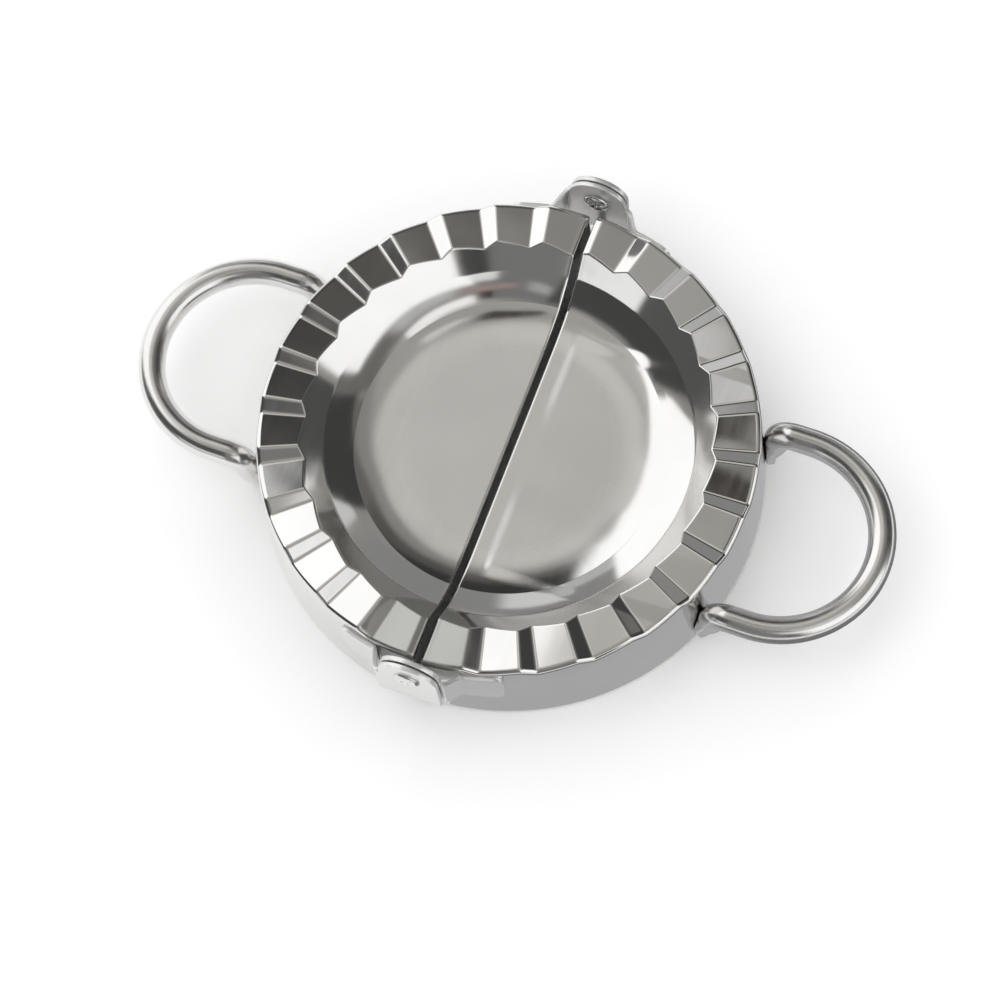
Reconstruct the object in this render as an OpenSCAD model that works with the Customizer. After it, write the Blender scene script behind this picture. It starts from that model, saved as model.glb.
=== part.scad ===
// Empanada press of pressed stainless steel, lying open and flat.
// Origin: centre of the round base, on the surface it stands on. +Z is up, the fold axis runs along Y,
// and +X points to the half that folds over. Each half carries one round handle.

/* [Shell] */
// Outside diameter of the skirt at its lower edge, the size that it cuts
skirt_d = 89; // [84:0.5:100]
// How far the skirt draws in on each side, from its lower edge up to the crimping rim
skirt_draft = 1.3; // [0:0.1:4]
// Height from the base to the crests of the teeth
shell_h = 19.3; // [16:0.1:26]
// Thickness of the pressed sheet
sheet_t = 0.8; // [0.5:0.1:1.2]
// Gap between the two halves when they lie open
split_gap = 1.2; // [0.8:0.1:2]
// Rounding of the skirt's lower corners beside the split
corner_r = 3; // [1:0.5:5]

/* [Bowl] */
// Width of the toothed rim, from its outer edge to the bowl
rim_w = 7.1; // [5:0.1:9]
// Depth of the steep upper wall, from the crests down to the crease
mouth_depth = 4.2; // [3:0.1:5]
// How far the upper wall runs inwards from the rim to the crease
mouth_run = 4.1; // [3:0.1:6]
// Depth of the bowl's floor below the crests
bowl_depth = 8; // [7:0.1:11]
// Diameter of the floor, up to its sharp corner with the lower wall
floor_d = 54; // [46:0.2:58]
// Slope to which the floor's edge curls up at that corner, in degrees
curl_a = 15; // [5:1:20]
// Radius of the curl
curl_r = 30; // [10:1:40]

/* [Teeth] */
// Number of teeth round the whole rim
tooth_count = 28; // [20:2:36]
// Height of a tooth at the rim's outer edge
tooth_h = 1.2; // [0.6:0.1:1.6]
// Part of each pitch that the steep face takes
steep_share = 0.285; // [0.2:0.005:0.4]
// Turn of the whole tooth pattern against the split, in degrees
tooth_turn = -0.6; // [-1:0.1:1]

/* [Handles] */
// Diameter of the handle's round bar
bar_d = 4.75; // [4:0.05:6]
// Radius of the loop, measured to the middle of the bar
loop_r = 17.3; // [14:0.1:20]
// How far a handle reaches out from the skirt's lower edge
handle_out = 24; // [19.5:0.5:31.5]
// Height of the loop's middle above the base
handle_z = 12.3; // [11:0.1:14]
// Radius of the bend where the bar turns down along the skirt
bend_r = 3.2; // [2.8:0.1:4]
// Thickness of the flattened tab
tab_t = 1.8; // [1.2:0.1:2.4]
// Width of the flattened tab
tab_w = 5.2; // [4:0.1:6.5]
// Height of the tab's rounded tip above the base
tab_low = 1.6; // [0.5:0.1:4]

/* [Hinges] */
// Height of the fold axis above the crests of the teeth
pivot_rise = 0.8; // [-0.3:0.1:7.7]
// Radius of the ear round the rivet
ear_r = 5.2; // [4:0.1:6]
// Thickness of the hinge plates
plate_t = 0.8; // [0.6:0.1:1.2]
// Distance from the skirt's lower edge to the inner face of the inner ears
ear_stand = 0.7; // [0.1:0.1:7.5]
// Gap between the inner and the outer ear
ear_gap = 0.35; // [0.25:0.05:0.6]
// Height of the foot that is welded to the skirt
foot_h = 7.3; // [5:0.1:9]
// Height of the foot's lower edge above the base
foot_low = 10; // [6:0.1:11]
// Distance along X at which the foot starts to lie on the skirt
foot_start = 8; // [7:0.1:9.5]
// Distance along X at which the foot ends
foot_end = 14.2; // [12:0.1:18]
// Rounding of the foot's two outer corners
foot_corner_r = 1.6; // [0.5:0.1:3]
// Height that the plate rises from the foot's upper edge to the ear
shoulder_rise = 1.7; // [0.5:0.1:2.5]

/* [Rivets] */
// Diameter of the rivet's shank
rivet_d = 3; // [2:0.1:4]
// Diametral clearance of the shank in the ear that turns on it
rivet_play = 0.1; // [0.04:0.02:0.2]
// Diameter of the peened heads
head_d = 4.5; // [4.2:0.1:6]
// Height of the peened heads
head_h = 0.9; // [0.5:0.1:1.2]
// Gap between the inner head and the ear that turns
head_gap = 0.3; // [0.1:0.05:0.4]

/* [Hidden] */
$fn = 96;
eps = 0.01;
// How far a cutting shape reaches past what it cuts
over = 1;
// Straight steps that make up the curl of the floor's edge
curl_steps = 8;
// Part of the foot, in degrees, that the joggle takes in
foot_root_a = 0.1;
skirt_r = skirt_d / 2;
rim_r = skirt_r - skirt_draft;
mouth_r = rim_r - rim_w;
crease_r = mouth_r - mouth_run;
crease_z = shell_h - mouth_depth;
floor_r = floor_d / 2;
floor_z = shell_h - bowl_depth;
floor_edge_z = floor_z + curl_r * (1 - cos(curl_a));
handle_reach = skirt_r + handle_out;
pivot_z = shell_h + pivot_rise;
ear_y = skirt_r + ear_stand;
// The steep face and the gentle face of a tooth, as angles
pitch_a = 360 / tooth_count;
steep_a = pitch_a * steep_share;
gentle_a = pitch_a - steep_a;
valleys_per_half = ceil(tooth_count / 4);
// Outer ears stand one plate and the gap beyond the inner ears
outer_ear_y = ear_y + plate_t + ear_gap;
foot_top = foot_low + foot_h;
// Middle of the bar where it stands on the skirt, and the start of the bend before it
bar_r = bar_d / 2;
tab_top = handle_z - bend_r;
bar_stand = skirt_radius(tab_top) + bar_r;
bend_x = sqrt(bar_stand * bar_stand - loop_r * loop_r) + bend_r;
loop_x = handle_reach - bar_r - loop_r;
tab_angle = asin(loop_r / bar_stand);

// Outer radius of the skirt's cone at a height
function skirt_radius(z) = skirt_r - skirt_draft * z / shell_h;

// Unit normal of the line from a to b, on its left side
function left_normal(a, b) = let (d = b - a) [-d[1], d[0]] / norm(d);

// Corner b of the path a-b-c, moved to the path that runs a distance t to the right of it
function shifted_corner(a, b, c, t) =
    let (n1 = left_normal(a, b), n2 = left_normal(b, c))
    b - t * (n1 + n2) / (1 + n1 * n2);

// The pressed profile, from the slope of the floor's edge to the skirt's lower edge and past it
profile_points = [[floor_r - cos(curl_a), floor_edge_z - sin(curl_a)], [floor_r, floor_edge_z],
                  [crease_r, crease_z], [mouth_r, shell_h], [rim_r, shell_h], [skirt_r, 0],
                  [skirt_r + skirt_draft, -shell_h]];

// Points along the curl, from the flat floor to just before its edge
function curl_points(inset) =
    let (centre = [floor_r - curl_r * sin(curl_a), floor_z + curl_r])
    [for (k = [0:curl_steps - 1])
        let (a = curl_a * k / curl_steps)
        centre + (curl_r + inset) * [sin(a), -cos(a)]];

// Area under the profile, with the profile moved inwards by an inset
module profile_area(inset) {
    p = profile_points;
    low = [for (i = [1:4]) shifted_corner(p[i - 1], p[i], p[i + 1], inset)];
    foot = low[3] + (p[5] - p[4]) * (low[3][1] + over) / shell_h;
    polygon(concat([[0, -over], [0, floor_z - inset]], curl_points(inset), low, [foot]));
}

// One groove of the rim: a gentle face and a steep face that meet in a radial valley line
module groove(drop) {
    // Both faces run on to this multiple of the tooth's height, above the sheet
    rise = 2;
    gentle_run = rise * rim_r * tan(gentle_a);
    steep_run = rise * rim_r * tan(steep_a);
    rotate([90, 0, 90])
        translate([0, shell_h - tooth_h - drop, crease_r])
            linear_extrude(height = skirt_r + over - crease_r)
                polygon([[0, 0], [gentle_run, rise * tooth_h], [gentle_run, 2 * rise * tooth_h],
                         [-steep_run, 2 * rise * tooth_h], [-steep_run, rise * tooth_h]]);
}

// The grooves of the right half, lowered for the underside of the sheet
module grooves(drop) {
    for (k = [-valleys_per_half:valleys_per_half])
        rotate(k * pitch_a + steep_a / 2 + tooth_turn) groove(drop);
}

// Solid under the pressed surface, with its teeth
module pressed_solid(inset) {
    difference() {
        rotate_extrude() profile_area(inset);
        grooves(inset);
    }
}

// What is cut away to round a corner at the origin whose sides run along +X and +Y
module corner_waste(r) {
    difference() {
        translate([-over, -over]) square(r + over);
        translate([r, r]) circle(r = r);
    }
}

// Cut that rounds the skirt's lower corners beside the split
module corner_cut() {
    translate([split_gap / 2, skirt_r + over, 0])
        rotate([90, 0, 0])
            linear_extrude(height = skirt_d + 2 * over) corner_waste(corner_r);
}

// The right half shell: floor, bowl wall, toothed rim and skirt in one sheet
module half_shell() {
    difference() {
        intersection() {
            pressed_solid(0);
            translate([split_gap / 2, -skirt_r - over, 0])
                cube([skirt_r, skirt_d + 2 * over, shell_h + over]);
        }
        pressed_solid(sheet_t);
        corner_cut();
    }
}

// Cone that fills the skirt, for what lies on its outer face
module skirt_cone(extra, low, high) {
    rotate_extrude()
        polygon([[0, low], [skirt_radius(low) + extra, low], [skirt_radius(high) + extra, high], [0, high]]);
}

// Bend and flattened tab of the right handle, at its +Y end with side 1 and its -Y end with side -1
module handle_end(side) {
    tab_x = bend_x - bend_r;
    flat_z = tab_top - bend_r / 2;
    translate([bend_x, side * loop_r, tab_top])
        rotate([90, 0, 0])
            rotate([0, 0, 90])
                rotate_extrude(angle = 90)
                    translate([bend_r, 0]) circle(d = bar_d);
    // The bar is squeezed flat below the bend
    intersection() {
        hull() {
            translate([tab_x, side * loop_r, tab_top - eps]) cylinder(d = bar_d, h = eps, $fn = 32);
            rotate(side * tab_angle)
                translate([skirt_radius(flat_z), -tab_w / 2, flat_z]) cube([tab_t, tab_w, eps]);
        }
        translate([0, 0, flat_z]) cylinder(r = handle_reach, h = bend_r);
    }
    // The tab lies on the skirt
    intersection() {
        difference() {
            skirt_cone(tab_t, 0, flat_z);
            skirt_cone(0, -over, flat_z + over);
        }
        rotate(side * tab_angle)
            rotate([90, 0, 90])
                union() {
                    translate([0, tab_low + tab_w / 2]) cylinder(d = tab_w, h = handle_reach);
                    translate([-tab_w / 2, tab_low + tab_w / 2, 0])
                        cube([tab_w, shell_h, handle_reach]);
                }
    }
}

// One half of the right handle: a quarter of the ring, a straight leg and an end
module handle_arm(side) {
    translate([loop_x, 0, handle_z])
        rotate(45 * side - 45)
            rotate_extrude(angle = 90)
                translate([loop_r, 0]) circle(d = bar_d);
    translate([bend_x, side * loop_r, handle_z])
        rotate([0, 90, 0]) cylinder(d = bar_d, h = loop_x - bend_x);
    handle_end(side);
}

// The right handle, seated on the skirt
module half_handle() {
    difference() {
        for (side = [-1, 1]) handle_arm(side);
        skirt_cone(0, -over, shell_h);
    }
}

// A hinge plate at the +Y end for the +X half: ear, joggle and curved foot with rounded corners.
// face_y is the ear's inner face and bore_d its rivet hole.
module hinge_plate(face_y, bore_d) {
    start_a = acos(foot_start / skirt_radius(foot_top));
    end_a = acos(foot_end / skirt_radius(foot_top));
    difference() {
        union() {
            translate([0, face_y + plate_t, pivot_z])
                rotate([90, 0, 0]) cylinder(r = ear_r, h = plate_t);
            translate([-ear_r, face_y, foot_low]) cube([2 * ear_r, plate_t, pivot_z - foot_low]);
            // The joggle starts one ear gap beyond the ear, to pass the other half's ear
            hull() {
                translate([ear_r - eps, face_y, foot_low])
                    cube([ear_gap + eps, plate_t, foot_h + shoulder_rise]);
                foot_band(start_a - foot_root_a, start_a);
            }
            foot_band(end_a, start_a);
        }
        skirt_cone(0, -over, shell_h);
        translate([0, face_y + plate_t + over, pivot_z])
            rotate([90, 0, 0]) cylinder(d = bore_d, h = plate_t + 2 * over);
        rotate(end_a)
            rotate([90, 0, 90])
                linear_extrude(height = 2 * skirt_r) {
                    translate([0, foot_low]) corner_waste(foot_corner_r);
                    translate([0, foot_top]) mirror([0, 1]) corner_waste(foot_corner_r);
                }
    }
}

// Part of the foot between two angles, lying on the skirt's cone
module foot_band(a1, a2) {
    rotate(a1)
        rotate_extrude(angle = a2 - a1)
            polygon([[skirt_radius(foot_low), foot_low], [skirt_radius(foot_low) + plate_t, foot_low],
                     [skirt_radius(foot_top) + plate_t, foot_top], [skirt_radius(foot_top), foot_top]]);
}

// Domed head of a rivet, standing on the plane z = 0
module rivet_head() {
    dome_r = (head_h * head_h + head_d * head_d / 4) / (2 * head_h);
    intersection() {
        translate([0, 0, head_h - dome_r]) sphere(r = dome_r);
        cylinder(d = head_d, h = head_h);
    }
}

// The rivet at the +Y end, from its inner head to its outer head
module rivet() {
    inner = ear_y - head_gap;
    outer = outer_ear_y + plate_t;
    translate([0, inner, pivot_z])
        rotate([-90, 0, 0]) {
            cylinder(d = rivet_d, h = outer - inner);
            mirror([0, 0, 1]) rivet_head();
            translate([0, 0, outer - inner]) rivet_head();
        }
}

module left_shell() { color("gainsboro") rotate(180) half_shell(); }
module right_shell() { color("silver") half_shell(); }
module left_handle() { color("lightgray") rotate(180) half_handle(); }
module right_handle() { color("darkgray") half_handle(); }
module left_far_hinge_plate() {
    color("lightsteelblue") mirror([1, 0, 0]) hinge_plate(outer_ear_y, rivet_d);
}
module left_near_hinge_plate() {
    color("lightsteelblue") rotate(180) hinge_plate(outer_ear_y, rivet_d);
}
module right_far_hinge_plate() {
    color("slategray") hinge_plate(ear_y, rivet_d + rivet_play);
}
module right_near_hinge_plate() {
    color("slategray") mirror([0, 1, 0]) hinge_plate(ear_y, rivet_d + rivet_play);
}
module far_rivet() { color("dimgray") rivet(); }
module near_rivet() { color("dimgray") mirror([0, 1, 0]) rivet(); }

left_shell();
right_shell();
left_handle();
right_handle();
left_far_hinge_plate();
left_near_hinge_plate();
right_far_hinge_plate();
right_near_hinge_plate();
far_rivet();
near_rivet();
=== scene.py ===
import bpy
import math
import numpy as np
from mathutils import Matrix, Vector


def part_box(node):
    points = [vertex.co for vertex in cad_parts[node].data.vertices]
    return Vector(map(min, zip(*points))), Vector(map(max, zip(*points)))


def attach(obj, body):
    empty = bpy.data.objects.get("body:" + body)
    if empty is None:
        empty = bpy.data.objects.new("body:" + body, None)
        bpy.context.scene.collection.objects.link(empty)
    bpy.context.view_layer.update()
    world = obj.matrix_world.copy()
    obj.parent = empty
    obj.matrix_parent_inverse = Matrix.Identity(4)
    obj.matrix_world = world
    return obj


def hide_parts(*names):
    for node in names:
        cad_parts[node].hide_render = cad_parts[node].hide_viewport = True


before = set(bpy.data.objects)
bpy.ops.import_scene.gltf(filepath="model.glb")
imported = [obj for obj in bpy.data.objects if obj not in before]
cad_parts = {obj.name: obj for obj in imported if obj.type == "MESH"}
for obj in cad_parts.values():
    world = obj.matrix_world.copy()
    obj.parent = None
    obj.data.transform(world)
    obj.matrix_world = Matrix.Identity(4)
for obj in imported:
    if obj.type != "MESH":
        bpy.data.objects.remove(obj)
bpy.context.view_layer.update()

mm = 0.001  # shapes are worked out in millimetres
mergeDigits = 4  # points that agree to this many decimals of a millimetre are one point
tiny = 1e-6  # keeps divisors and lengths from being zero
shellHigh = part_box("right_shell")[1] / mm
handleBox = [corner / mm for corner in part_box("right_handle")]
innerBox = [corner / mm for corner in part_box("right_far_hinge_plate")]
outerBox = [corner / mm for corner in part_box("left_far_hinge_plate")]
rivetBox = [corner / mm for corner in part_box("far_rivet")]


def unit(v):
    # each vector divided by its own length
    return v / np.linalg.norm(v, axis=-1, keepdims=True)


def eased(count, ends=False):
    # shares between 0 and 1 that crowd towards both ends: half of one minus the cosine
    share = (1 - np.cos(np.pi * np.arange(count + 2) / (count + 1))) / 2
    return share if ends else share[1:-1]


def smoothStep(t):
    # three t squared minus two t cubed, held at 0 and 1 outside
    t = np.clip(t, 0, 1)
    return t * t * (3 - 2 * t)


def pointsOf(x, y, z):
    # the three coordinates, stretched to one shape and set side by side
    return np.stack(np.broadcast_arrays(x, y, z), -1)


def gridFaces(rows, cols, wrapCols=False):
    # quads between neighbouring rows and columns, numbered row by row
    i = np.arange(rows - 1)[:, None]
    j = np.arange(cols if wrapCols else cols - 1)[None, :]
    right = (j + 1) % cols
    quads = [i * cols + j, i * cols + right, (i + 1) * cols + right, (i + 1) * cols + j]
    return np.stack(quads, -1).reshape(-1, 4)


def objectFrom(name, points, faces):
    # an object at the origin whose mesh has these points, in metres, and these faces
    mesh = bpy.data.meshes.new(name)
    mesh.from_pydata(points.tolist(), [], faces)
    thing = bpy.data.objects.new(name, mesh)
    bpy.context.scene.collection.objects.link(thing)
    return thing


def pieceFrom(name, points, quads):
    # smooth piece from points in millimetres. Points at one place become one, and quads that lose a side
    # that way become triangles
    points = points.reshape(-1, 3)
    rounded = np.round(points, mergeDigits)
    _, first, where = np.unique(rounded, axis=0, return_index=True, return_inverse=True)
    faces = where.reshape(-1)[quads]
    same = faces == np.roll(faces, -1, axis=1)
    crossed = (faces[:, 0] == faces[:, 2]) | (faces[:, 1] == faces[:, 3])
    lost = same.sum(1)
    whole = faces[(lost == 0) & ~crossed]
    thin = (lost == 1) & ~crossed
    thirds = faces[thin][~same[thin]].reshape(-1, 3)
    piece = objectFrom(name, points[first] * mm, whole.tolist() + thirds.tolist())
    piece.data.validate()
    piece.data.polygons.foreach_set("use_smooth", np.ones(len(piece.data.polygons), bool))
    piece.data.update()
    return piece


def turned(points):
    # half a turn about the upright axis, which takes the right half to the left one
    return points * np.array([-1, -1, 1])


def seat(piece, body, nodeName, material):
    # gives a piece its finish, the body it moves with and the CAD node whose place it takes
    piece.data.materials.append(material)
    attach(piece, body)
    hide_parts(nodeName)


def nodeAdder(tree):
    # a function that adds a node and sets its sockets: an underscore in a key is a blank in the socket's name
    def add(kind, **sockets):
        node = tree.nodes.new(kind)
        for key, value in sockets.items():
            node.inputs[key.replace("_", " ")].default_value = value
        return node

    return add


def nodeMaterial(name):
    # an empty material, the functions that add and join its nodes, and its output
    material = bpy.data.materials.new(name)
    material.use_nodes = True
    tree = material.node_tree
    tree.nodes.clear()
    out = tree.nodes.new("ShaderNodeOutputMaterial")
    return material, nodeAdder(tree), tree.links.new, out


def mathOf(add, join, operation, *values):
    # what the operation makes of these numbers and outputs of other nodes
    node = add("ShaderNodeMath")
    node.operation = operation
    for socket, value in zip(node.inputs, values):
        if isinstance(value, float):
            socket.default_value = value
        else:
            join(value, socket)
    return node.outputs[0]


def stepOf(add, join, value, spans, shape="SMOOTHSTEP"):
    # a value carried from the span of the first two numbers to that of the last two, and held beyond them
    node = add("ShaderNodeMapRange")
    node.interpolation_type = shape
    for key, number in zip(("From Min", "From Max", "To Min", "To Max"), spans):
        node.inputs[key].default_value = number
    join(value, node.inputs["Value"])
    return node.outputs["Result"]


def axisDistance(add, join, place, scale):
    # distance from the upright axis: the length of a place, times the scale, with its height taken out
    flat = add("ShaderNodeVectorMath")
    flat.operation = "MULTIPLY"
    flat.inputs[1].default_value = (scale, scale, 0)
    join(place, flat.inputs[0])
    length = add("ShaderNodeVectorMath")
    length.operation = "LENGTH"
    join(flat.outputs["Vector"], length.inputs[0])
    return length.outputs["Value"]


def bumpOf(add, join, height, depth, under=None):
    # normal of a surface raised by the height times the depth, in millimetres, on top of another bump
    node = add("ShaderNodeBump", Strength=1.0, Distance=depth * mm)
    join(height, node.inputs["Height"])
    if under is not None:
        join(under, node.inputs["Normal"])
    return node.outputs["Normal"]


def satinAndPaintedShade(add, join, spot, look, metal, rough):
    # satin adds roughness inside a radius, and a spot of painted shade darkens the steel's colour round one
    # point, where it is roughened too
    radius = axisDistance(add, join, spot, 1)
    rough = mathOf(add, join, "ADD", rough, stepOf(add, join, radius, look["satin"]))
    roughPaintedShadeSpot = look["roughPaintedShadeSpot"]
    reach = add("ShaderNodeVectorMath")
    reach.operation = "DISTANCE"
    reach.inputs[1].default_value = roughPaintedShadeSpot["centre"]
    join(spot, reach.inputs[0])
    share = stepOf(add, join, reach.outputs["Value"], roughPaintedShadeSpot["reach"])
    # painted shade: the colour is mixed towards a darker tint round the spot
    mixed = add("ShaderNodeMixRGB", Color2=roughPaintedShadeSpot["tint"])
    join(share, mixed.inputs["Fac"])
    join(metal, mixed.inputs["Color1"])
    return mixed.outputs["Color"], mathOf(add, join, "MULTIPLY_ADD", share, roughPaintedShadeSpot["roughness"], rough)


def bentStrip(add, join, spot, strip):
    # height of a narrow strip of the right half's floor that leans towards the cut, apart from its middle:
    # a step across it, times a step up and a step down along it
    axes = add("ShaderNodeSeparateXYZ")
    join(spot, axes.inputs[0])
    height = stepOf(add, join, axes.outputs["X"], (*strip["across"], 0, 1))
    along = mathOf(add, join, "ABSOLUTE", axes.outputs["Y"])
    for spans in ((*strip["start"], 0, 1), (*strip["end"], 1, 0)):
        height = mathOf(add, join, "MULTIPLY", height, stepOf(add, join, along, spans))
    return height


def steelFinish(name, look):
    # metal whose colour, roughness and bump wander with noise in the piece's own millimetres
    material, add, join, out = nodeMaterial(name)
    shader = add("ShaderNodeBsdfPrincipled", Metallic=look["metallic"])
    place = add("ShaderNodeTexCoord")
    size = add("ShaderNodeMapping", Scale=(1 / mm, 1 / mm, 1 / mm))
    join(place.outputs["Object"], size.inputs["Vector"])
    spot = size.outputs["Vector"]

    cloud = add("ShaderNodeTexNoise", Scale=look["cloudScale"], Detail=3.0)
    join(spot, cloud.inputs["Vector"])
    tone = add("ShaderNodeValToRGB")
    stops = zip(tone.color_ramp.elements, look["cloudSpan"], (look["dark"], look["light"]))
    for stop, position, colour in stops:
        stop.position = position
        stop.color = (*colour, 1)
    join(cloud.outputs["Fac"], tone.inputs["Fac"])
    metal = tone.outputs["Color"]

    stretch = add("ShaderNodeMapping", Scale=look["grainStretch"])
    join(spot, stretch.inputs["Vector"])
    grain = add("ShaderNodeTexNoise", Scale=look["grainScale"], Detail=4.0)
    join(stretch.outputs["Vector"], grain.inputs["Vector"])
    rough = stepOf(add, join, grain.outputs["Fac"], (0, 1, *look["roughness"]), "LINEAR")
    if "satin" in look:
        metal, rough = satinAndPaintedShade(add, join, spot, look, metal, rough)
    join(metal, shader.inputs["Base Color"])
    join(rough, shader.inputs["Roughness"])

    normal = None
    if "strip" in look:
        normal = bumpOf(add, join, bentStrip(add, join, spot, look["strip"]), look["strip"]["drop"])
    wave = add("ShaderNodeTexNoise", Scale=look["waveScale"], Detail=1.0)
    join(spot, wave.inputs["Vector"])
    normal = bumpOf(add, join, wave.outputs["Fac"], look["waveHeight"], normal)
    normal = bumpOf(add, join, grain.outputs["Fac"], look["grainHeight"], normal)
    join(normal, shader.inputs["Normal"])
    join(shader.outputs["BSDF"], out.inputs["Surface"])
    return material


plainLook = {
    "dark": (0.74, 0.735, 0.72),
    "light": (0.80, 0.795, 0.78),
    "cloudScale": 0.05,
    "cloudSpan": (0.3, 0.7),
    "metallic": 1.0,
    "roughness": (0.06, 0.13),
    "grainScale": 0.5,
    "grainStretch": (1.6, 0.06, 1.0),
    "grainHeight": 0.0001,
    "waveScale": 0.07,
    "waveHeight": 0.13,
}
shellLook = dict(
    plainLook,
    satin=(17.0, 26.0, 0.2, 0.0),  # the radii between which it fades, and the roughness it adds there
    # a spot by the near hinge where painted shade darkens the steel's colour, standing for a darker
    # reflection there, and where roughness is added
    roughPaintedShadeSpot={
        "centre": (-0.9, -40, 19),
        "reach": (8.5, 9.3, 1.0, 0.0),  # distances from the centre between which it fades from all to none
        "tint": (0.5, 0.5, 0.48, 1),
        "roughness": 0.22,
    },
    strip={"across": (2.9, 4.9), "start": (4.0, 12.0), "end": (21.0, 24.0), "drop": 0.14},
)
barLook = dict(plainLook, roughness=(0.17, 0.27), waveHeight=0.05, grainStretch=(1.0, 1.0, 1.0))
plateLook = dict(plainLook, metallic=0.7, roughness=(0.25, 0.28), grainHeight=0.0,
                 light=(0.78, 0.78, 0.775), grainStretch=(1.0, 1.0, 6.0))
rivetLook = dict(plainLook, roughness=(0.06, 0.12), dark=(0.6, 0.6, 0.59), light=(0.76, 0.76, 0.75))

shellSteel = steelFinish("pressedSteel", shellLook)
barSteel = steelFinish("barSteel", barLook)
plateSteel = steelFinish("plateSteel", plateLook)
rivetSteel = steelFinish("rivetSteel", rivetLook)
print("finishes made")


shell = {
    "skirtR": shellHigh.y,
    "height": shellHigh.z,
    "draft": 1.3,  # how much narrower the skirt is at the rim than at its foot
    "sheet": 0.8,
    "halfGap": 0.6,  # from the middle of the split to each half
    "cornerR": 3.0,  # the skirt's lower corners
    "rimWidth": 7.1,  # of the toothed ring
    "mouthDepth": 4.2,  # drop and run of the upper wall, from the teeth to the crease
    "mouthRun": 4.1,
    "bowlDepth": 8.0,
    "floorR": 27.0,
    "curlAngle": 15.0,
    "curlR": 30.0,
    "curlSlack": 1.0,  # how much tighter the bend at its start is than the curl
    "edgeBend": 0.8,
    "wallHollow": 5.0,  # degrees by which the lower wall starts flatter and ends steeper
    "wallR": 26.0,  # the bend between those two
    "creaseBend": 3.0,
    "mouthBend": 0.45,
    "lipBend": 0.9,
    "leastMouthBend": 0.08,  # what is left of the two bends on the sheet's inner side
    "leastLipBend": 0.12,
    "cutEdge": 0.42,  # roundings of the cut on top and underneath, and of the skirt's foot
    "underEdge": 0.15,
    "footEdge": 0.2,
    "teeth": 28,
    "toothHeight": 1.2,
    "steepShare": 0.285,
    "toothTurn": -0.6,  # degrees round the axis
    "toothBend": 0.4,  # degrees, half the width of a crease's rounding
    "starR": 17.0,  # inside it the floor's rows are lines to one point
    "starRows": 5,
    "arcSteps": (16, 5, 10, 7, 7, 11),  # rows on each bend of the section, from the floor outwards
    "lineSteps": (3, 1, 1, 1, 6, 8, 14),  # rows on each straight stretch before, between and after them
    "edgeColumns": 5,  # on a rounded edge
    "edgeLead": 1.45,  # edge radii from the cut to the first column that belongs to it
    "edgeZone": 2.2,  # edge radii from the cut to the last of the other columns
    "keepAngle": 80.0,  # columns up to here stay, and those up to the last make room for the cut
    "lastAngle": 88.0,
    "creaseColumns": 5,
    "leastColumns": 3,
    "columnsADegree": 1.1,
}
shell["rimR"] = shell["skirtR"] - shell["draft"]


def toothLines(s):
    # angles of the valleys and the crests of the right half, and the slopes of the two kinds of face
    pitch = 2 * np.pi / s["teeth"]
    steep = pitch * s["steepShare"]
    quarter = s["teeth"] // 4
    valleys = np.arange(-quarter, quarter) * pitch + steep / 2 + math.radians(s["toothTurn"])
    gentleSlope = s["toothHeight"] / (s["rimR"] * math.tan(pitch - steep))
    steepSlope = s["toothHeight"] / (s["rimR"] * math.tan(steep))
    toCrest = math.atan2(steepSlope * math.sin(pitch), gentleSlope + steepSlope * math.cos(pitch))
    crests = np.append(valleys[0] + toCrest - pitch, valleys + toCrest)
    return pitch, valleys, crests, gentleSlope, steepSlope


def toothRise(angle, s):
    # height above the valleys for each millimetre of radius: the lower of the gentle and the steep plane,
    # with a parabola over each crease
    pitch, valleys, crests, gentleSlope, steepSlope = toothLines(s)
    sector = np.clip(np.searchsorted(valleys, angle) - 1, 0, len(valleys) - 1)
    gentle = gentleSlope * np.sin(angle - valleys[sector])
    steep = steepSlope * np.sin(valleys[sector] + pitch - angle)
    rise = np.minimum(gentle, steep)
    bend = math.radians(s["toothBend"])
    for creases, jump in ((valleys[1:], gentleSlope + steepSlope), (crests[1:], -gentleSlope - steepSlope)):
        near = np.clip(bend - np.abs(angle[:, None] - creases), 0, None)
        rise = rise + (jump * near ** 2 / (4 * bend)).sum(1)
    return rise


def shellColumns(s):
    # angles across the half, crowded at every crease of the teeth
    _, valleys, crests, _, _ = toothLines(s)
    bend = math.radians(s["toothBend"])
    last = math.radians(s["lastAngle"])
    creases = np.sort(np.concatenate([valleys[1:], crests[1:]]))
    creases = creases[np.abs(creases) < last - bend]
    steps = bend * np.linspace(-1, 1, s["creaseColumns"])
    starts = np.concatenate([[-last], creases + bend])
    ends = np.concatenate([creases - bend, [last]])
    angles = [np.array([-last, last])] + [crease + steps for crease in creases]
    for start, end in zip(starts, ends):
        count = int(round(math.degrees(end - start) * s["columnsADegree"]))
        angles.append(start + (end - start) * eased(max(s["leastColumns"], count)))
    return np.unique(np.concatenate(angles))


def flatCross(u, v):
    # area between two directions of the section, positive where the second turns left of the first
    return u[..., 0] * v[..., 1] - u[..., 1] * v[..., 0]


def crossing(lineA, lineB):
    # point where two lines of the section meet, each a point and a direction
    (p, d), (q, e) = lineA, lineB
    return p + d * (flatCross(q - p, e) / flatCross(d, e))[..., None]


def shiftedLine(start, end, inset):
    # line from start to end, moved to its right by the inset
    d = unit(np.array(end, float) - np.array(start, float))
    return np.array(start) + inset * np.array([d[1], -d[0]]), d


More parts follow.
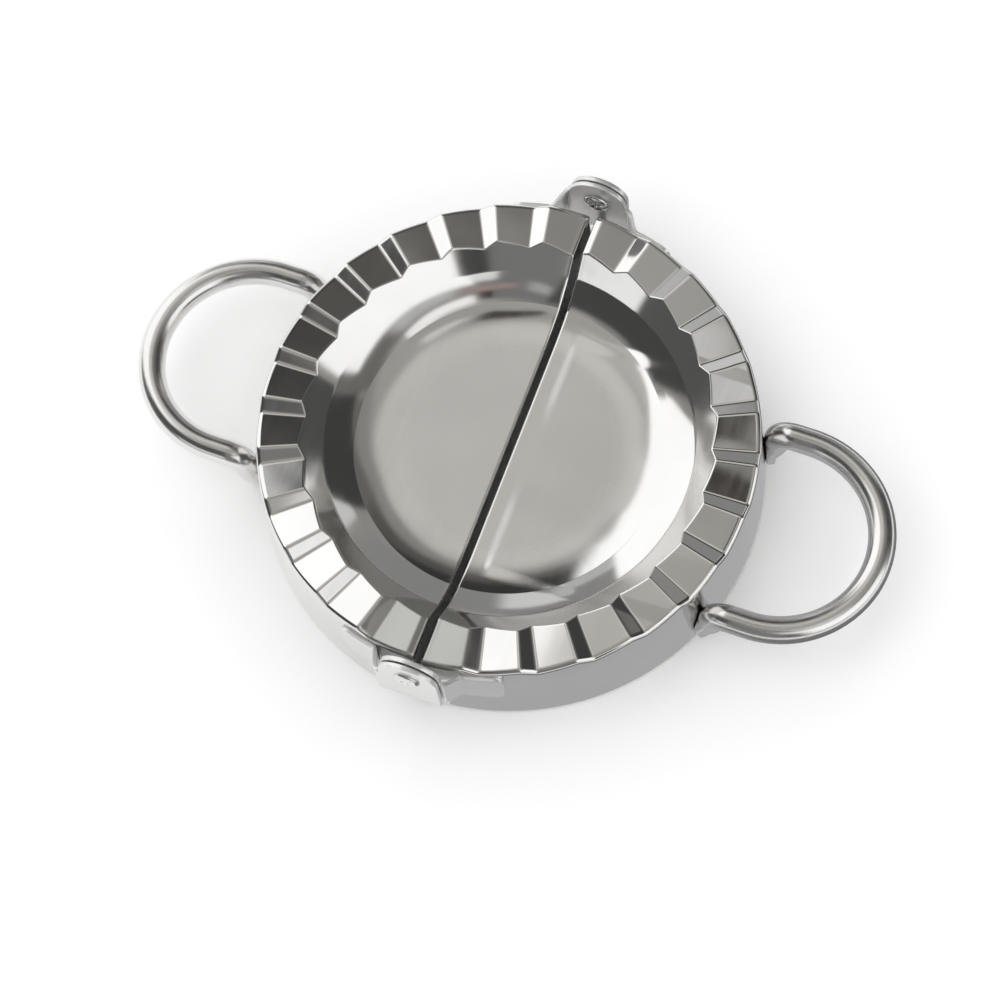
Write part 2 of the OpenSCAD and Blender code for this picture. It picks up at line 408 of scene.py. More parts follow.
def filletArc(before, corner, after, radius, count):
    # arc that touches both sides of a corner, from its first tangent point to its last
    into, out = unit(corner - before), unit(after - corner)
    turn = np.arctan2(flatCross(into, out), (into * out).sum(-1))
    side = np.sign(turn)[..., None]
    toCentre = side * np.stack([-into[..., 1], into[..., 0]], -1)
    centre = corner - into * (radius * np.tan(np.abs(turn) / 2))[..., None] + toCentre * radius
    swing = turn * np.linspace(0, 1, count)[:, None]
    x, y = -toCentre[..., 0], -toCentre[..., 1]
    spoke = np.stack([x * np.cos(swing) - y * np.sin(swing), x * np.sin(swing) + y * np.cos(swing)], -1)
    return centre + radius * spoke


def sectionCorners(rise, inset, s):
    # corners of the section at each column, where straight lines moved inwards by the inset meet
    mouthR = s["rimR"] - s["rimWidth"]
    creaseR, creaseZ = mouthR - s["mouthRun"], s["height"] - s["mouthDepth"]
    floorZ = s["height"] - s["bowlDepth"]
    curl = math.radians(s["curlAngle"])
    edgeZ = floorZ + s["curlR"] * (1 - math.cos(curl))
    floor = shiftedLine((0, floorZ), (s["floorR"], floorZ), inset)
    curled = shiftedLine((s["floorR"] - math.cos(curl), edgeZ - math.sin(curl)), (s["floorR"], edgeZ), inset)
    slope = math.atan2(creaseZ - edgeZ, creaseR - s["floorR"])
    hollow = math.radians(s["wallHollow"])
    flatter = np.array([math.cos(slope - hollow), math.sin(slope - hollow)])
    steeper = np.array([math.cos(slope + hollow), math.sin(slope + hollow)])
    lower = shiftedLine((s["floorR"], edgeZ), (s["floorR"], edgeZ) + flatter, inset)
    middle = shiftedLine((creaseR, creaseZ) - steeper, (creaseR, creaseZ), inset)
    upper = shiftedLine((creaseR, creaseZ), (mouthR, s["height"]), inset)
    skirt = shiftedLine((s["rimR"], s["height"]), (s["skirtR"], 0), inset)
    foot = (np.array([0, s["footEdge"]]), np.array([1.0, 0]))
    directions = unit(np.stack([np.ones(len(rise)), rise], -1))
    face = (np.array([0, s["height"] - s["toothHeight"] - inset]), directions)
    corners = [np.array([s["starR"], floorZ - inset]), crossing(floor, curled), crossing(curled, lower),
               crossing(lower, middle), crossing(middle, upper), crossing(upper, face), crossing(skirt, face),
               crossing(skirt, foot)]
    return [np.broadcast_to(corner, (len(rise), 2)) for corner in corners]


def sectionRows(rise, inset, s):
    # the section at each column, from the flat floor to the foot of the skirt: straight lines with an arc at
    # each corner. The widest arcs curl up the floor's edge and hollow the lower wall
    corners = sectionCorners(rise, inset, s)
    bends = [s["curlR"] - s["curlSlack"] + inset, s["edgeBend"] + inset, s["wallR"] + inset,
             s["creaseBend"] + inset, max(s["mouthBend"] - inset, s["leastMouthBend"]),
             max(s["lipBend"] - inset, s["leastLipBend"])]
    rows, last = [corners[0][None]], corners[0]
    for k, bend in enumerate(bends):
        arc = filletArc(*corners[k:k + 3], bend, s["arcSteps"][k])
        rows += [last + (arc[0] - last) * eased(s["lineSteps"][k])[:, None, None], arc]
        last = arc[-1]
    foot = corners[-1]
    rows += [last + (foot - last) * eased(s["lineSteps"][-1])[:, None, None], foot[None]]
    return np.concatenate(rows)


def footRows(outer, inner, s):
    # rounded lower edge of the sheet, between the last outer and the last inner row
    down = np.linspace(0, np.pi / 2, s["edgeColumns"])[1:, None, None]
    shift = np.concatenate([np.cos(down) - 1, -np.sin(down)], -1) * s["footEdge"]
    return np.concatenate([outer + shift, (inner + shift * [-1, 1])[::-1]])


def placeColumns(section, edge, angles, away, s):
    # each point of the section, turned about the upright axis by the angle of its column. The skirt's lower
    # corners are rounded, so its ends move away from the split near the ground, and the last columns follow
    radius, height = section[..., 0], section[..., 1]
    low = np.clip(s["cornerR"] - height, 0, s["cornerR"])
    cutX = s["halfGap"] + s["cornerR"] - np.sqrt(s["cornerR"] ** 2 - low ** 2)
    keep, last = math.radians(s["keepAngle"]), math.radians(s["lastAngle"])
    middle = slice(len(away), -len(away))
    first, final = slice(None, len(away)), slice(-len(away), None)
    limit = np.minimum(np.arccos((cutX + s["edgeZone"] * edge) / radius)[:, middle], last)
    a = np.abs(angles)
    squeezed = keep + (a - keep) * (limit - keep) / (last - keep)
    turn = np.sign(angles) * np.where(a < keep, a, squeezed)
    x = np.empty_like(radius)
    y = np.empty_like(radius)
    x[:, middle] = radius[:, middle] * np.cos(turn)
    y[:, middle] = radius[:, middle] * np.sin(turn)
    x[:, final] = cutX[:, final] + away * edge
    x[:, first] = cutX[:, first] + (away * edge)[:, ::-1]
    y[:, final] = np.sqrt(radius[:, final] ** 2 - x[:, final] ** 2)
    y[:, first] = -np.sqrt(radius[:, first] ** 2 - x[:, first] ** 2)
    return pointsOf(x, y, height)


def floorStar(row, edgeR, ends, s):
    # the flat floor: straight lines from a point beside the split to the given row
    share = np.append(0, eased(s["starRows"]))[:, None, None]
    pole = np.array([s["halfGap"] + s["edgeZone"] * edgeR, 0, row[0, 2]])
    rows = pole + (row - pole) * share
    for cut in (slice(None, ends), slice(-ends, None)):
        rows[:, cut] = row[cut] * np.array([1, 0, 1]) + row[cut] * np.array([0, 1, 0]) * share
    return rows


def cutStrips(rows, cols):
    # quads that close the two cuts, from each outer row to the inner row that lies under it
    i = np.arange(rows // 2 - 1)
    far = rows - 1 - i
    right = np.stack([i, i + 1, far - 1, far], -1) * cols + cols - 1
    left = np.stack([far, far - 1, i + 1, i], -1) * cols
    return np.concatenate([right, left])


def halfShell(s):
    # one pressed sheet on a grid: a column is an angle across the half, and a row goes round the section,
    # out over the bowl, the teeth and the skirt and back underneath
    arc = np.linspace(0, np.pi / 2, s["edgeColumns"])
    away = np.append(s["edgeLead"], 1 - np.sin(arc))  # distances from the cut and drops, in edge radii
    drops = np.append(0, 1 - np.cos(arc))
    ends = len(away)
    angles = shellColumns(s)
    endAngles = np.arccos((s["halfGap"] + s["cutEdge"] * away) / (s["rimR"] - s["rimWidth"] / 2))
    rise = toothRise(np.concatenate([-endAngles[::-1], angles, endAngles]), s)
    outer, inner = sectionRows(rise, 0, s), sectionRows(rise, s["sheet"], s)
    section = np.concatenate([outer, footRows(outer[-1], inner[-1], s), inner[::-1]])
    edge = np.full((len(section), 1), s["underEdge"])
    edge[:len(outer)] = s["cutEdge"]
    points = placeColumns(section, edge, angles, away, s)
    above = floorStar(points[0], s["cutEdge"], ends, s)
    below = floorStar(points[-1], s["underEdge"], ends, s)[::-1]
    points = np.concatenate([above, points, below])
    edge = np.pad(edge, ((len(above), len(below)), (0, 0)), "edge")

    # the cut edges are rounded: columns near the split sink along the surface's own normal
    normal = unit(np.cross(np.gradient(points, axis=0), np.gradient(points, axis=1)) + tiny ** 2)
    normal[:len(above) + 1] = (0, 0, 1)
    normal[-len(below) - 1:] = (0, 0, -1)
    sink = drops * edge
    points[:, -ends:] -= normal[:, [-ends - 1]] * sink[..., None]
    points[:, :ends] -= normal[:, [ends]] * sink[:, ::-1, None]
    rows, cols = points.shape[:2]
    return points, np.concatenate([gridFaces(rows, cols)[:, ::-1], cutStrips(rows, cols)])


shellPoints, shellQuads = halfShell(shell)
for side, body in (("right", "right_half"), ("left", "left_half")):
    half = shellPoints if side == "right" else turned(shellPoints)
    piece = pieceFrom(f"{side}PressedShell", half, shellQuads)
    seat(piece, body, f"{side}_shell", shellSteel)
print("shells made:", len(shellQuads), "quads each")


handle = {
    "barD": 4.75,
    "loopR": 17.3,
    "reach": handleBox[1].x,
    "bendR": 3.2,
    "tabThick": 1.8,
    "tabWidth": 5.2,
    "tabLow": handleBox[0].z,
    "tipRound": 0.55,
    "squeeze": 4.2,  # length over which the round bar becomes the flat tab
    "squareness": 4.5,
    "sides": 56,
    "tabSteps": 34,
    "bendRings": 15,
    "legRings": 3,
    "loopRings": 33,
}
handle["height"] = handleBox[1].z - handle["barD"] / 2


def skirtRadius(z):
    # radius of the skirt's outside, which falls evenly from its foot to the rim
    return shell["skirtR"] + (shell["rimR"] - shell["skirtR"]) * z / shell["height"]


def tabRings(h, top, stand):
    # the upright tab: the bar's round section is squeezed towards a flat one, and its tip is rounded.
    # Gives its middle, the section's two axes, and its half width, half thickness and squareness
    barR, tipR, tabR = h["barD"] / 2, h["tabWidth"] / 2, h["tabThick"] / 2
    turn = math.asin(h["loopR"] / stand)
    outward = np.array([math.cos(turn), math.sin(turn), 0])
    along = np.array([-math.sin(turn), math.cos(turn), 0])
    z = h["tabLow"] + (top - h["tabLow"]) * eased(h["tabSteps"], True)
    fromTip = z - h["tabLow"]
    grow = smoothStep((z - top + h["squeeze"]) / h["squeeze"])
    halfWidth = tipR + (barR - tipR) * grow
    halfWidth = halfWidth * np.sqrt(1 - np.clip(1 - fromTip / tipR, 0, 1) ** 2)
    thick = tabR + (barR - tabR) * grow
    halfThick = thick * np.sqrt(1 - np.clip(1 - fromTip / h["tipRound"], 0, 1) ** 2)
    square = h["squareness"] + (2 - h["squareness"]) * grow
    middle = outward * (skirtRadius(z) + thick)[:, None] + np.array([0, 0, 1]) * z[:, None]
    return middle, along + 0 * middle, outward + 0 * middle, np.stack([halfWidth, halfThick, square], -1)


def loopRings(h, top, bendX, along):
    # the round bar from the tab's top: a bend up to the level leg, the leg and a quarter of the loop
    barR = h["barD"] / 2
    loopX = h["reach"] - barR - h["loopR"]
    swing = np.linspace(0, np.pi / 2, h["bendRings"] + 1)[1:]
    bend = pointsOf(bendX - h["bendR"] * np.cos(swing), h["loopR"], top + h["bendR"] * np.sin(swing))
    share = (swing / swing[-1])[:, None]
    bendWide = unit(along * (1 - share) + np.array([0, 1, 0]) * share)
    bendOut = unit(np.cross(bendWide, pointsOf(np.sin(swing), 0, np.cos(swing))))
    leg = pointsOf(np.linspace(bendX, loopX, h["legRings"] + 2)[1:-1], h["loopR"], h["height"])
    turn = np.linspace(np.pi / 2, 0, h["loopRings"])
    loop = pointsOf(loopX + h["loopR"] * np.cos(turn), h["loopR"] * np.sin(turn), h["height"])
    loopWide = pointsOf(np.cos(turn), np.sin(turn), 0)
    middle = np.concatenate([bend, leg, loop])
    wide = np.concatenate([bendWide, np.array([0, 1, 0]) + 0 * leg, loopWide])
    out = np.concatenate([bendOut, np.repeat([[0, 0, -1.0]], len(leg) + len(loop), 0)])
    return middle, wide, out, np.repeat([[barR, barR, 2]], len(middle), 0)


def sweptBar(h):
    # a rounded rectangle carried along the path from one tab to the other: cosine and sine, each raised to
    # two over the squareness
    top = h["height"] - h["bendR"]
    stand = skirtRadius(top) + h["barD"] / 2
    bendX = math.sqrt(stand ** 2 - h["loopR"] ** 2) + h["bendR"]
    tab = tabRings(h, top, stand)
    bar = loopRings(h, top, bendX, tab[1][0])
    path, wide, out, sizes = [np.concatenate(parts) for parts in zip(tab, bar)]
    flip = np.array([1, -1, 1])
    path = np.concatenate([path, (path * flip)[-2::-1]])
    wide = np.concatenate([wide, (wide * flip)[-2::-1]])
    out = np.concatenate([out, (out * flip)[-2::-1]])
    sizes = np.concatenate([sizes, sizes[-2::-1]])
    turn = 2 * np.pi * np.arange(h["sides"]) / h["sides"]
    power = 2 / sizes[:, 2:3]
    c = np.sign(np.cos(turn)) * np.abs(np.cos(turn)) ** power * sizes[:, 0:1]
    d = np.sign(np.sin(turn)) * np.abs(np.sin(turn)) ** power * sizes[:, 1:2]
    flatness = np.clip((sizes[:, 2:3] - 2) / (h["squareness"] - 2), 0, 1)
    d = d - flatness * c ** 2 / (2 * skirtRadius(h["tabLow"]))  # the tab follows the skirt's curve
    points = path[:, None] + wide[:, None] * c[..., None] + out[:, None] * d[..., None]
    return points, gridFaces(len(path), h["sides"], True)[:, ::-1]


barPoints, barQuads = sweptBar(handle)
for side, body in (("right", "right_half"), ("left", "left_half")):
    half = barPoints if side == "right" else turned(barPoints)
    piece = pieceFrom(f"{side}LoopHandle", half, barQuads)
    seat(piece, body, f"{side}_handle", barSteel)
print("handles made")


plate = {
    "thick": 0.8,
    "earR": 5.2,
    "pivotZ": 20.1,
    "footLow": innerBox[0].z,
    "footTop": 17.3,  # and the ear's shoulder is higher by the rise
    "footStart": 8.0,  # from here on the plate lies on the skirt
    "footEnd": innerBox[1].x,
    "rise": 1.7,
    "gap": 0.35,  # of flat plate beside the ear
    "cornerR": 1.6,
    "boreR": 1.52,
    "edge": 0.18,
    "edgeSegments": 3,
    "edgeAngle": 50.0,
    "sideRays": 15,
    "bottomRays": 13,
    "farSideRays": 11,
    "capRays": 42,
    "earRings": 8,
    "footSteps": 30,
}


def earPatch(p, y):
    # rays from the bore to the ear's outline as seen from the rivet: a circle above, and a box's sides below
    low, shoulder = p["footLow"], p["footTop"] + p["rise"]
    side = -np.arctan2(p["pivotZ"] - np.linspace(shoulder, low, p["sideRays"]), p["earR"])
    farCorner = math.atan2(low - p["pivotZ"], -p["earR"])
    bottom = np.linspace(side[-1], farCorner, p["bottomRays"] + 1)[1:]
    farSide = np.linspace(farCorner, -np.pi, p["farSideRays"] + 1)[1:]
    cap = np.linspace(np.pi, side[0], p["capRays"] + 2)[1:-1]
    angles = np.concatenate([side, bottom, farSide, cap])
    c, d = np.cos(angles), np.sin(angles)
    boxReach = np.minimum(p["earR"] / np.maximum(np.abs(c), tiny), (p["pivotZ"] - low) / np.maximum(-d, tiny))
    reach = np.where(d > 0, p["earR"], boxReach)
    ringR = p["boreR"] + (reach - p["boreR"]) * np.linspace(0, 1, p["earRings"])[:, None]
    return pointsOf(ringR * c, y, p["pivotZ"] + ringR * d)


def footPatch(p, y, edgeZ):
    # upright lines from the ear's side to the end of the foot. They move from the ear's plane to the skirt's
    # cone along a smooth step, and get shorter by a circle at the end
    low, shoulder = p["footLow"], p["footTop"] + p["rise"]
    start, end = p["earR"], p["footEnd"]
    x = start + (end - start) * eased(p["footSteps"], True)
    blend = smoothStep((x - start - p["gap"]) / (p["footStart"] - start - p["gap"]))
    fromEnd = np.clip(1 - (end - x) / p["cornerR"], 0, 1)
    cut = p["cornerR"] * (1 - np.sqrt(1 - fromEnd ** 2))
    upper, lower = shoulder - p["rise"] * blend - cut, low + cut
    share = (edgeZ - low) / (shoulder - low)
    z = lower[:, None] + (upper - lower)[:, None] * share
    onSkirt = np.sqrt((skirtRadius(z) + p["thick"] / 2) ** 2 - x[:, None] ** 2)
    return pointsOf(x[:, None], y * (1 - blend[:, None]) + onSkirt * blend[:, None], z)


def hingePlate(p, earY):
    # middle surface of the plate in two patches, the ear and the foot, that share the ear's side
    ear = earPatch(p, earY + p["thick"] / 2)
    foot = footPatch(p, earY + p["thick"] / 2, ear[-1, :p["sideRays"], 2])
    points = np.concatenate([ear.reshape(-1, 3), foot.reshape(-1, 3)])
    quads = [gridFaces(*ear.shape[:2], True), gridFaces(*foot.shape[:2]) + ear[..., 0].size]
    return points, np.concatenate(quads)[:, ::-1]


def finishPlate(piece, p):
    # gives the middle surface its thickness, evenly to both sides, and rounds the sharp edges
    thick = piece.modifiers.new("thickness", "SOLIDIFY")
    thick.thickness = p["thick"] * mm
    thick.offset = 0
    thick.use_even_offset = True
    edge = piece.modifiers.new("edges", "BEVEL")
    edge.width = p["edge"] * mm
    edge.segments = p["edgeSegments"]
    edge.limit_method = "ANGLE"
    edge.angle_limit = math.radians(p["edgeAngle"])


innerY = innerBox[1].y - plate["thick"]
outerY = outerBox[1].y - plate["thick"]
mirrorX, mirrorY = np.array([-1, 1, 1]), np.array([1, -1, 1])
for name, node, body, earY, flips in (
        ("rightFarPlate", "right_far_hinge_plate", "right_half", innerY, []),
        ("rightNearPlate", "right_near_hinge_plate", "right_half", innerY, [mirrorY]),
        ("leftFarPlate", "left_far_hinge_plate", "left_half", outerY, [mirrorX]),
        ("leftNearPlate", "left_near_hinge_plate", "left_half", outerY, [mirrorX, mirrorY])):
    platePoints, plateQuads = hingePlate(plate, earY)
    for flip in flips:
        platePoints, plateQuads = platePoints * flip, plateQuads[:, ::-1]
    piece = pieceFrom(name, platePoints, plateQuads)
    finishPlate(piece, plate)
    seat(piece, body, node, plateSteel)
print("hinge plates made")


rivet = {
    "shankR": 1.5,
    "headR": 2.25,
    "headHigh": 0.9,
    "headEdge": 0.985,  # share of the head's curve that is used, so that its edge has a side
    "headFullness": 2.4,
    "pivotZ": plate["pivotZ"],
    "lobes": 4,
    "lobeDepth": 0.55,
    "lobeSharpness": 1.5,
    "outerLobe": 0.6,  # share of that depth on the outer head
    "dimple": 0.35,
    "dimpleReach": 0.28,  # share of the head's radius
    "headRings": 18,
    "sides": 64,
}
rivet["inner"] = rivetBox[0].y + rivet["headHigh"]
rivet["outer"] = rivetBox[1].y - rivet["headHigh"]


def rivetSurface(r):
    # profile turned about the rivet's axis: each head is a full curve, and lobes, a squared cosine round the
    # head, are pressed into both. The inner head has a dimple too, a bell curve of the radius
    t = np.linspace(0, 1, r["headRings"])
    headRise = r["headHigh"] * np.sqrt(1 - (t * r["headEdge"]) ** r["headFullness"])
    headR = r["headR"] * t
    inHead = np.stack([headR, r["inner"] - headRise], -1)
    shank = np.array([[r["headR"], r["inner"]], [r["shankR"], r["inner"]],
                      [r["shankR"], (r["inner"] + r["outer"]) / 2],
                      [r["shankR"], r["outer"]], [r["headR"], r["outer"]]])
    outHead = np.stack([headR, r["outer"] + headRise], -1)[::-1]
    profile = np.concatenate([inHead, shank, outHead])
    turn = 2 * np.pi * np.arange(r["sides"]) / r["sides"]
    y = profile[:, 1:2] + 0 * turn
    share = t[:, None]
    swell = (0.5 - 0.5 * np.cos(r["lobes"] * turn)) ** 2
    lobe = swell * r["lobeDepth"] * np.sin(np.pi * share) ** r["lobeSharpness"]
    y[:len(t)] += lobe + r["dimple"] * np.exp(-(share / r["dimpleReach"]) ** 2)
    y[-len(t):] -= (lobe * r["outerLobe"])[::-1]
    points = pointsOf(profile[:, 0:1] * np.cos(turn), y, r["pivotZ"] + profile[:, 0:1] * np.sin(turn))
    return points, gridFaces(len(profile), r["sides"], True)


rivetPoints, rivetQuads = rivetSurface(rivet)
for name, node, flip in (("farRivet", "far_rivet", 1), ("nearRivet", "near_rivet", -1)):
    facing = rivetQuads if flip == -1 else rivetQuads[:, ::-1]
    piece = pieceFrom(name, rivetPoints * np.array([1, flip, 1]), facing)
    seat(piece, "left_half", node, rivetSteel)
print("rivets made")


studio = {
    "floorSize": 3.0,
    "floorTone": 0.97,  # under the light, and the next as the camera and mirrors see it
    "floorWhite": 1.17,
    "ambient": 0.9,
    "keyPower": 3.2,
    "keySize": 1.2,
    "keyPlace": (-0.5, -0.3, 1.6),
    "cardGrid": (25, 49),
    # the ring of painted shade on the table beside the object, which only mirrors show
    "shadeSheetGrid": (9, 61),
    "shadeSheetAngles": (-84, 84),
    "shadeSheetRadii": (44.7, 125),
    "shadeSheetFade": (50, 66),
    "shadeSheetGlow": (0.47, 0.2),
    "shadeSheetLift": 0.3,
    "shadeSheetTint": (0.97, 0.97, 1.0, 1),
    "flagHeight": 1.2,
    "flagReach": 1.0,
    "flagLeans": (0.09, 0.30),  # sideways run of the light that the board stops, for each unit of height
}


def mirrorOnly(thing, material):
    # a glowing part of the studio that only mirrored rays see
    material.cycles.emission_sampling = "NONE"
    thing.data.materials.append(material)
    for ray in ("camera", "diffuse", "transmission", "volume_scatter", "shadow"):
        setattr(thing, "visible_" + ray, False)


def cardPatch(name, corners, distance, grid):
    # a patch of a sphere round the object between four corners of azimuth and elevation, blended evenly.
    # Azimuth 0 is +Y and 90 is +X. Its UV map holds the two shares of the blend
    rows, cols = grid
    u, v = np.linspace(0, 1, cols)[None, :, None], np.linspace(0, 1, rows)[:, None, None]
    p = np.array(corners, float)
    where = np.radians((p[0] * (1 - u) + p[1] * u) * (1 - v) + (p[3] * (1 - u) + p[2] * u) * v)
    az, el = where[..., 0], where[..., 1]
    points = distance * pointsOf(np.cos(el) * np.sin(az), np.cos(el) * np.cos(az), np.sin(el))
    quads = gridFaces(rows, cols)
    card = objectFrom(name, points.reshape(-1, 3), quads.tolist())
    shares = np.stack(np.broadcast_arrays(u[..., 0], v[..., 0]), -1).reshape(-1, 2)
    card.data.uv_layers.new(name="UVMap").data.foreach_set("uv", shares[quads].ravel())
    return card


def cardFade(add, join, corners, soft):
    # 1 inside a card and 0 at its edges, along a smooth step as wide as the given degrees: the step across
    # the card times the step up it
    place = add("ShaderNodeTexCoord")
    axes = add("ShaderNodeSeparateXYZ")
    join(place.outputs["UV"], axes.inputs[0])
    p = np.array(corners, float)
    wide = np.ptp(p[:, 0]) * math.cos(math.radians(p[:, 1].mean()))
    high = (p[2:, 1].sum() - p[:2, 1].sum()) / 2
    fades = []
    for axis, span in (("X", wide), ("Y", high)):
        fromEdge = mathOf(add, join, "PINGPONG", axes.outputs[axis], 0.5)
        fades.append(stepOf(add, join, fromEdge, (0, min(0.5, soft / span), 0, 1)))
    return mathOf(add, join, "MULTIPLY", *fades)


def studioCard(st, name, corners, glow, tint, distance, soft):
    # a glowing card in the mirror world, whose edges fade if it is soft
    card = cardPatch(name, corners, distance, st["cardGrid"])
    material, add, join, out = nodeMaterial(name)
    light = add("ShaderNodeEmission", Strength=glow, Color=(*tint, 1))
    surface = light.outputs[0]
    if soft:
        mix = add("ShaderNodeMixShader")
        join(cardFade(add, join, corners, soft), mix.inputs["Fac"])
        join(add("ShaderNodeBsdfTransparent").outputs[0], mix.inputs[1])
        join(surface, mix.inputs[2])
        surface = mix.outputs[0]
    join(surface, out.inputs["Surface"])
    mirrorOnly(card, material)


def tableShade(st):
    # painted shade on the table at the object's right, which only mirrored rays see: it darkens the table
    # beside the foot as the steel mirrors it, in place of a shadow there.
    # A ring sector whose glow falls with the distance from the object's axis
    rows, cols = st["shadeSheetGrid"]
    angle = np.radians(np.linspace(*st["shadeSheetAngles"], cols))
    radius = np.linspace(*st["shadeSheetRadii"], rows)[:, None]
    points = pointsOf(radius * np.cos(angle), radius * np.sin(angle), st["shadeSheetLift"]) * mm
    shadeSheet = objectFrom("tableShade", points.reshape(-1, 3), gridFaces(rows, cols).tolist())
    material, add, join, out = nodeMaterial("tableShade")
    place = add("ShaderNodeTexCoord")
    reach = axisDistance(add, join, place.outputs["Object"], 1 / mm)
    light = add("ShaderNodeEmission", Color=st["shadeSheetTint"])
    join(stepOf(add, join, reach, (*st["shadeSheetFade"], *st["shadeSheetGlow"]), "LINEAR"), light.inputs["Strength"])
    join(light.outputs[0], out.inputs["Surface"])
    mirrorOnly(shadeSheet, material)


def gapFlag(st):
    # a black board overhead that keeps the room's light from falling straight through the gap between the
    # halves
    low, high = np.array(st["flagLeans"]) * st["flagHeight"]
    reach = st["flagReach"]
    corners = pointsOf([low, high, high, low], [-reach, -reach, reach, reach], st["flagHeight"]) / mm
    board = pieceFrom("gapFlag", corners, np.array([[0, 1, 2, 3]]))
    material, add, join, out = nodeMaterial("blackBoard")
    join(add("ShaderNodeBsdfDiffuse", Color=(0, 0, 0, 1)).outputs[0], out.inputs["Surface"])
    board.data.materials.append(material)
    for ray in ("camera", "glossy", "transmission"):
        setattr(board, "visible_" + ray, False)


def whiteRays(add, join):
    # 1 for rays from the camera, a mirror or glass, and 0 for the rest
    path = add("ShaderNodeLightPath")
    total = path.outputs["Is Camera Ray"]
    for name in ("Is Glossy Ray", "Is Transmission Ray"):
        total = mathOf(add, join, "MAXIMUM", total, path.outputs[name])
    return total


def makeFloor(st):
    # a square of pale paper, which the camera and mirrors see whiter than the light does
    size = st["floorSize"] / 2 / mm
    corners = pointsOf([-size, size, size, -size], [-size, -size, size, size], 0.0)
    floor = pieceFrom("paleFloor", corners, np.array([[0, 1, 2, 3]]))
    material, add, join, out = nodeMaterial("palePaper")
    mix = add("ShaderNodeMixShader")
    join(whiteRays(add, join), mix.inputs["Fac"])
    for socket, tone in zip(mix.inputs[1:], (st["floorTone"], st["floorWhite"])):
        join(add("ShaderNodeBsdfDiffuse", Color=(tone, tone, tone, 1)).outputs[0], socket)
    join(mix.outputs[0], out.inputs["Surface"])
    floor.data.materials.append(material)


def makeWorld(st):
    # even light from all sides, behind which the camera and mirrors see plain white
    world = bpy.data.worlds.new("paleRoom")
    bpy.context.scene.world = world
    world.use_nodes = True
    world.node_tree.nodes.clear()
    add, join = nodeAdder(world.node_tree), world.node_tree.links.new
    out = add("ShaderNodeOutputWorld")
    mix = add("ShaderNodeMixShader")
    join(whiteRays(add, join), mix.inputs["Fac"])
    for socket, strength in zip(mix.inputs[1:], (st["ambient"], 1.0)):
        join(add("ShaderNodeBackground", Color=(1, 1, 1, 1), Strength=strength).outputs[0], socket)
    join(mix.outputs[0], out.inputs["Surface"])


def makeKey(st):
    # one large soft lamp that faces the object
    data = bpy.data.lights.new("softKey", "AREA")
    data.size = st["keySize"]
    data.energy = st["keyPower"]
    key = bpy.data.objects.new("softKey", data)
    key.location = st["keyPlace"]
    key.rotation_euler = (-Vector(st["keyPlace"])).to_track_quat("-Z", "Y").to_euler()
    key.visible_glossy = False
    bpy.context.scene.collection.objects.link(key)


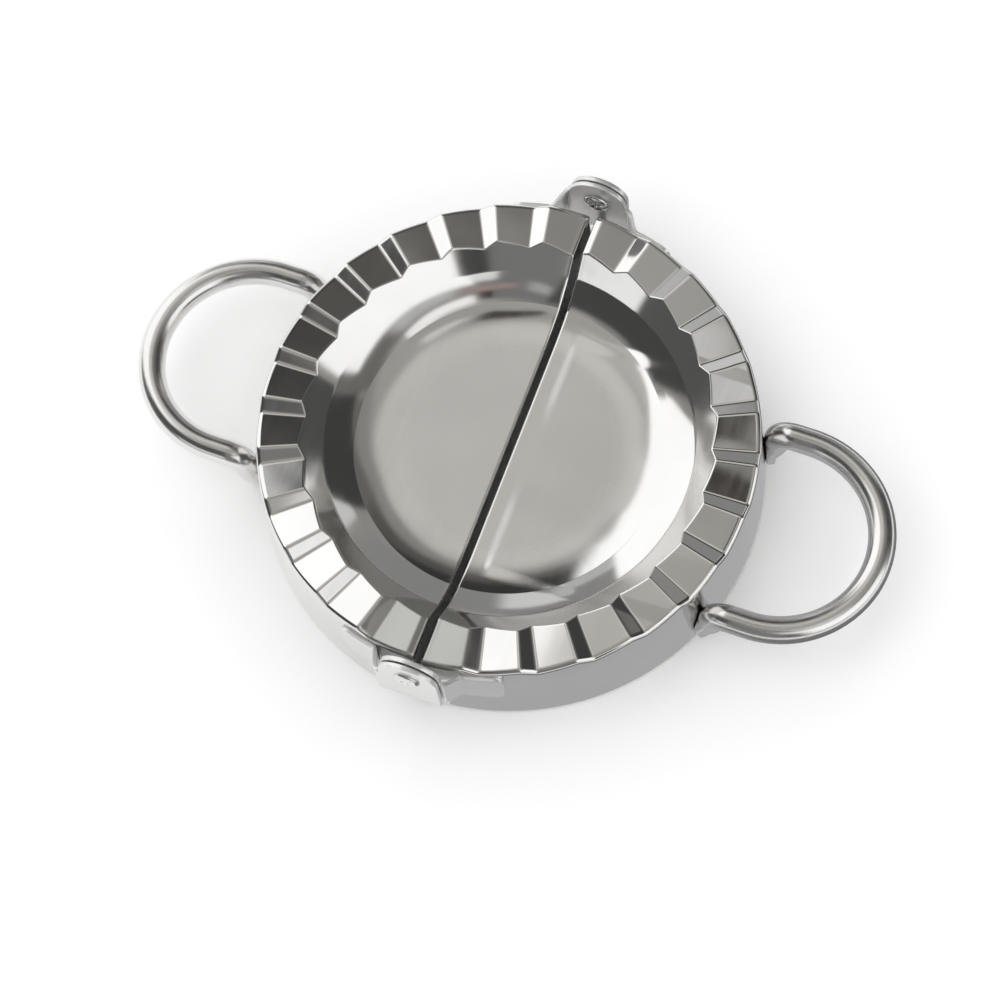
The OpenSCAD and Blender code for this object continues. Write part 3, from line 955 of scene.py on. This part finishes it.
makeFloor(studio)
makeWorld(studio)
makeKey(studio)
gapFlag(studio)
tableShade(studio)
neutral, warm, rosy = (1, 1, 1), (1, 0.975, 0.925), (1, 0.78, 0.74)
studioCards = {
    # name: corners (azimuth and elevation, low edge first), glow, tint, distance in metres and softness
    # of the edges in degrees
    "wall": ([(0, 3), (360, 3), (360, 89.9), (0, 89.9)], 0.30, warm, 2.60, 0),
    "sky": ([(0, 59), (360, 59), (360, 89.9), (0, 89.9)], 0.40, warm, 2.58, 0),
    "floorSheen": ([(296, 58), (372, 56), (380, 84), (288, 84)], 0.66, warm, 2.56, 6),
    "westVeil": ([(266, 62), (302, 58), (298, 78), (268, 80)], 0.52, warm, 2.55, 4),
    "southShade": ([(140, 8), (198, 8), (205, 70), (142, 66)], 0.20, neutral, 2.54, 3),
    "southGlow": ([(172, 50), (192, 51), (192, 62), (172, 61)], 0.42, neutral, 2.53, 4),
    "southEastDark": ([(140, 12), (160, 12), (156, 34), (142, 34)], 0.07, neutral, 2.50, 5),
    "southEastLight": ([(138, 36), (163, 38), (162, 53), (140, 53)], 0.85, neutral, 2.50, 4),
    "rosyStreak": ([(136, 53), (172, 54), (170, 59), (140, 60)], 0.35, rosy, 2.48, 1.5),
    "rosyDark": ([(146, 58.5), (160, 58.5), (160, 66), (146, 66)], 0.05, rosy, 2.38, 2),
    "southDark": ([(190, 24), (270, 2), (258, 51), (188, 67)], 0.065, neutral, 2.46, 4),
    "southLow": ([(214, 1), (269, 1), (264, 26), (214, 26)], 0.10, neutral, 2.44, 2),
    "southLamp": ([(188, 11), (223, 11), (221, 24), (188, 24)], 1.00, neutral, 2.42, 2),
    "eastShade": ([(56, 28), (92, 28), (104, 60), (58, 60)], 0.17, warm, 2.52, 4),
    "eastMid": ([(90, 42), (142, 48), (137, 60), (92, 60)], 0.52, neutral, 2.50, 6),
    "eastLow": ([(71, 5), (139, 10), (149, 55), (70, 47)], 1.20, neutral, 2.48, 4),
    "eastHigh": ([(94, 58), (146, 60), (146, 67.5), (90, 66)], 1.08, neutral, 2.46, 2),
    "northEastVeil": ([(-42, 49), (64, 50), (58, 74), (-6, 68)], 0.28, warm, 2.52, 5),
    "northEastShade": ([(-8, 46), (66, 46), (44, 65), (0, 61)], 0.15, warm, 2.50, 4),
    "northEastDark": ([(30, 14), (64, 22), (62, 50), (10, 47)], 0.055, neutral, 2.44, 3),
    "northEastLow": ([(31, 2), (73, 4), (66, 26), (31, 22)], 0.08, neutral, 2.44, 2),
    "northSpot": ([(17, 13), (30, 13), (29, 30), (18, 30)], 0.66, neutral, 2.44, 2),
    "northLow": ([(311, 3), (378, 3), (374, 32), (311, 32)], 0.27, neutral, 2.52, 4),
    "northLight": ([(321, 8), (340, 8), (339, 28), (322, 28)], 0.70, neutral, 2.50, 4),
    "northEdge": ([(310, 17), (325, 17), (325, 31), (310, 31)], 0.52, neutral, 2.48, 3),
    "northMid": ([(317, 44), (372, 44), (370, 58), (317, 56)], 0.10, warm, 2.48, 4),
    "northDark": ([(316, 32), (370, 32), (366, 51), (317, 51.5)], 0.04, neutral, 2.46, 4),
    "westHigh": ([(262, 34), (324.5, 40), (322.5, 58.5), (262, 69.5)], 1.28, neutral, 2.42, 2),
    "westWing": ([(248, 50), (262, 46), (266, 66), (240, 58)], 1.28, neutral, 2.41, 3),
    "westLow": ([(278, 1), (315, 5), (311.5, 42), (260, 42)], 1.28, neutral, 2.40, 2),
    "overheadLamp": ([(14, 79.5), (52, 79.5), (52, 87), (14, 87)], 0.72, neutral, 2.40, 1),
    "lensHood": ([(250, 81.8), (350, 84.4), (378, 89.6), (250, 89.6)], 0.03, rosy, 2.30, 0.6),
}
for cardName, cardValues in studioCards.items():
    studioCard(studio, cardName, *cardValues)
print("studio made")


camera = {
    "azimuth": 30.257,
    "elevation": 69.243,
    "roll": -10.407,
    "lookAt": (3.32, -12.31, 19.31),
    "distance": 456.6,
    "lens": 97.61,
    "sensor": 36,
    "clip": (0.01, 20),
}


def makeCamera(cam):
    # looks at a point from an azimuth, an elevation and a distance, and rolls about that line
    a, e, r = (math.radians(cam[key]) for key in ("azimuth", "elevation", "roll"))
    back = Vector((math.sin(a) * math.cos(e), -math.cos(a) * math.cos(e), math.sin(e)))
    level = Vector((math.cos(a), math.sin(a), 0))
    upright = back.cross(level)
    right = level * math.cos(r) + upright * math.sin(r)
    up = upright * math.cos(r) - level * math.sin(r)
    data = bpy.data.cameras.new("photoCamera")
    data.lens = cam["lens"]
    data.sensor_width = cam["sensor"]
    data.clip_start, data.clip_end = cam["clip"]
    eye = bpy.data.objects.new("photoCamera", data)
    place = (Vector(cam["lookAt"]) + back * cam["distance"]) * mm
    eye.matrix_world = Matrix.Translation(place) @ Matrix((right, up, back)).transposed().to_4x4()
    bpy.context.scene.collection.objects.link(eye)
    bpy.context.scene.camera = eye


makeCamera(camera)
bpy.context.scene.view_settings.view_transform = "Standard"
print("camera set")
